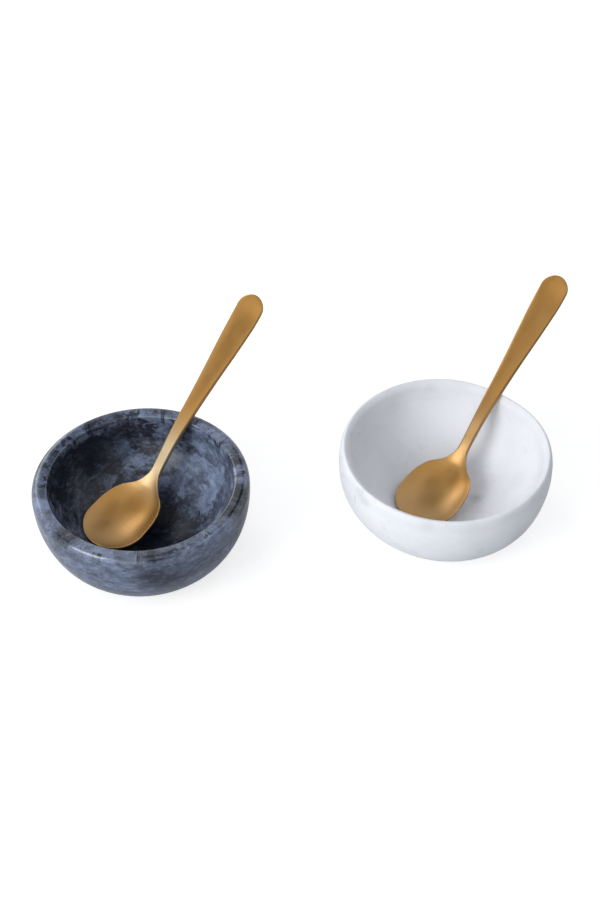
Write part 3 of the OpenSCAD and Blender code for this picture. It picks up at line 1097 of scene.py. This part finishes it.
def stage_square(name, centre, width):
    """A flat square about a place, facing up, for the stage only. Gives its material's tree."""
    x, y, z = centre
    w = width / 2
    corners = [(x - w, y - w, z), (x + w, y - w, z), (x + w, y + w, z), (x - w, y + w, z)]
    piece = new_piece(name, corners, [(0, 1, 2, 3)])
    material, tree = new_material(name)
    piece.data.materials.append(material)
    return piece, tree


def plain_floor(stage):
    """A pale floor that is white to the camera and keeps the bowls' shadows."""
    _, tree = stage_square("floor", (stage.target[0], stage.target[1], 0.0), stage.floor_w)
    camera_ray = add(tree, "ShaderNodeLightPath").outputs["Is Camera Ray"]
    plain = add(tree, "ShaderNodeBsdfDiffuse", Color=(0.6, 0.61, 0.63)).outputs[0]
    shaded = add(tree, "ShaderNodeBsdfDiffuse", Color=(0.45, 0.45, 0.45)).outputs[0]
    lift = add(tree, "ShaderNodeEmission", Color=(1.0, 1.0, 1.0), Strength=0.7).outputs[0]
    lifted = in_order(tree, "ShaderNodeAddShader", None, shaded, lift)
    face = in_order(tree, "ShaderNodeMixShader", None, camera_ray, plain, lifted)
    shown(tree, "ShaderNodeOutputMaterial", face)


def dark_card(name, place, target, width):
    """A dark card out of the camera's sight, which keeps light from one side as a flag does."""
    card, tree = stage_square(name, (0, 0, 0), width)
    aimed(card, place, target)
    card.visible_camera = False
    felt = add(tree, "ShaderNodeBsdfDiffuse", Color=(0.03, 0.03, 0.03)).outputs[0]
    shown(tree, "ShaderNodeOutputMaterial", felt)


def studio_world():
    """An even studio: white where it is seen, in a reflection or through glass, and plain as light."""
    world = bpy.data.worlds.new("studio")
    tree = blank_tree(world)
    rays = add(tree, "ShaderNodeLightPath").outputs
    seen = maths(tree, "MAXIMUM", rays["Is Camera Ray"], rays["Is Glossy Ray"])
    seen = maths(tree, "MAXIMUM", seen, rays["Is Transmission Ray"])
    fill = add(tree, "ShaderNodeBackground", Color=(0.95, 0.97, 1.0), Strength=0.78).outputs[0]
    white = add(tree, "ShaderNodeBackground", Color=(1.0, 1.0, 1.0), Strength=1.0).outputs[0]
    light = in_order(tree, "ShaderNodeMixShader", None, seen, fill, white)
    shown(tree, "ShaderNodeOutputWorld", light)
    bpy.context.scene.world = world


def aimed(obj, place, target):
    """Puts a lamp, a card or the camera at a place, looking at a target."""
    obj.location = place
    obj.rotation_euler = (Vector(target) - Vector(place)).to_track_quat("-Z", "Y").to_euler()


def around(target, heading, elevation, distance):
    """A place at a heading, anticlockwise from +X, and an elevation about the target."""
    a, e = math.radians(heading), math.radians(elevation)
    return target + distance * Vector(
        (math.cos(a) * math.cos(e), math.sin(a) * math.cos(e), math.sin(e))
    )


def placed(name, data, place, target):
    """A lamp or camera at a place, looking at a target."""
    obj = bpy.data.objects.new(name, data)
    bpy.context.scene.collection.objects.link(obj)
    aimed(obj, place, target)
    return obj


def soft_lamp(name, width, depth, watts):
    lamp = bpy.data.lights.new(name, "AREA")
    lamp.shape = "RECTANGLE"
    lamp.size, lamp.size_y = width, depth
    lamp.energy = watts
    lamp.color = DAYLIGHT
    return lamp


DAYLIGHT = (1.0, 0.99, 0.975)
# Each lamp: its name, heading and elevation in degrees, width, depth and the name of its power
LAMPS = (
    ("window", -140, 31, 0.56, 0.46, "window_power"),
    ("broad_window", -116, 19, 1.2, 0.7, "broad_power"),
    ("back_window", 127, 34, 0.45, 0.55, "back_power"),
)
# Each dark card: its name, heading and elevation in degrees, distance and width
DARK_CARDS = (
    ("ceiling_card", 166, 62, 0.75, 0.3),
    ("top_card", 20, 85, 0.75, 0.26),
    ("back_card", 86, 58, 0.9, 0.38),
    ("side_card", -24, 22, 0.9, 0.6),
    ("front_card", -74, 24, 0.9, 0.46),
)
SENSOR_MM = 36.0
CLIP_END = 20.0


class SALT_OT_stage(Operator):
    """Make the camera, the floor, the lamps and the studio around the pair"""

    bl_idname = "salt_cellar.stage"
    bl_label = "Stage"

    def execute(self, context):
        scene = context.scene
        stage = scene.salt_stage
        target = Vector(stage.target)
        camera = bpy.data.cameras.new("camera")
        camera.sensor_fit = "VERTICAL"
        camera.sensor_height = SENSOR_MM
        camera.lens = stage.focal_mm
        camera.clip_end = CLIP_END
        away = Vector((0, -math.cos(stage.camera_elevation), math.sin(stage.camera_elevation)))
        scene.camera = placed("camera", camera, target + away * stage.camera_distance, target)
        plain_floor(stage)
        studio_world()
        for name, heading, elevation, width, depth, power_name in LAMPS:
            lamp = soft_lamp(name, width, depth, getattr(stage, power_name))
            placed(name, lamp, around(target, heading, elevation, stage.lamp_distance), target)
        for name, heading, elevation, distance, width in DARK_CARDS:
            dark_card(name, around(target, heading, elevation, distance), target, width)
        scene.view_settings.view_transform = "Standard"
        return {"FINISHED"}


class SALT_PT_panel(Panel):
    bl_idname = "SALT_PT_panel"
    bl_label = "Salt cellars"
    bl_space_type = "VIEW_3D"
    bl_region_type = "UI"
    bl_category = "Salt cellars"

    def draw(self, context):
        for operator in OPERATORS:
            self.layout.operator(operator.bl_idname)
        for label, place, group in GROUPS:
            box = self.layout.box()
            box.label(text=label)
            for name in group.__annotations__:
                box.prop(getattr(context.scene, place), name)


OPERATORS = (SALT_OT_stage, SALT_OT_dark_bowl, SALT_OT_white_bowl, SALT_OT_spoons)
# Each group of sizes or colours: its label, its place on the scene and its class
GROUPS = (
    ("Dark bowl", "salt_dark", DarkBowlSizes),
    ("White bowl", "salt_white", WhiteBowlSizes),
    ("Spoon", "salt_spoon", SpoonSizes),
    ("Where the spoons lie", "salt_rest", SpoonRest),
    ("Stone", "salt_stone", StoneColours),
    ("Brass", "salt_brass", BrassColours),
    ("Stage", "salt_stage", StageSizes),
)


def register():
    for label, place, group in GROUPS:
        bpy.utils.register_class(group)
        setattr(bpy.types.Scene, place, PointerProperty(type=group, name=label))
    for cls in (*OPERATORS, SALT_PT_panel):
        bpy.utils.register_class(cls)


def unregister():
    for cls in reversed((*OPERATORS, SALT_PT_panel)):
        bpy.utils.unregister_class(cls)
    for _, place, group in reversed(GROUPS):
        delattr(bpy.types.Scene, place)
        bpy.utils.unregister_class(group)


def main():
    register()
    bpy.ops.salt_cellar.stage()
    bpy.ops.salt_cellar.dark_bowl()
    bpy.ops.salt_cellar.white_bowl()
    bpy.ops.salt_cellar.spoons()


if __name__ == "__main__":
    main()
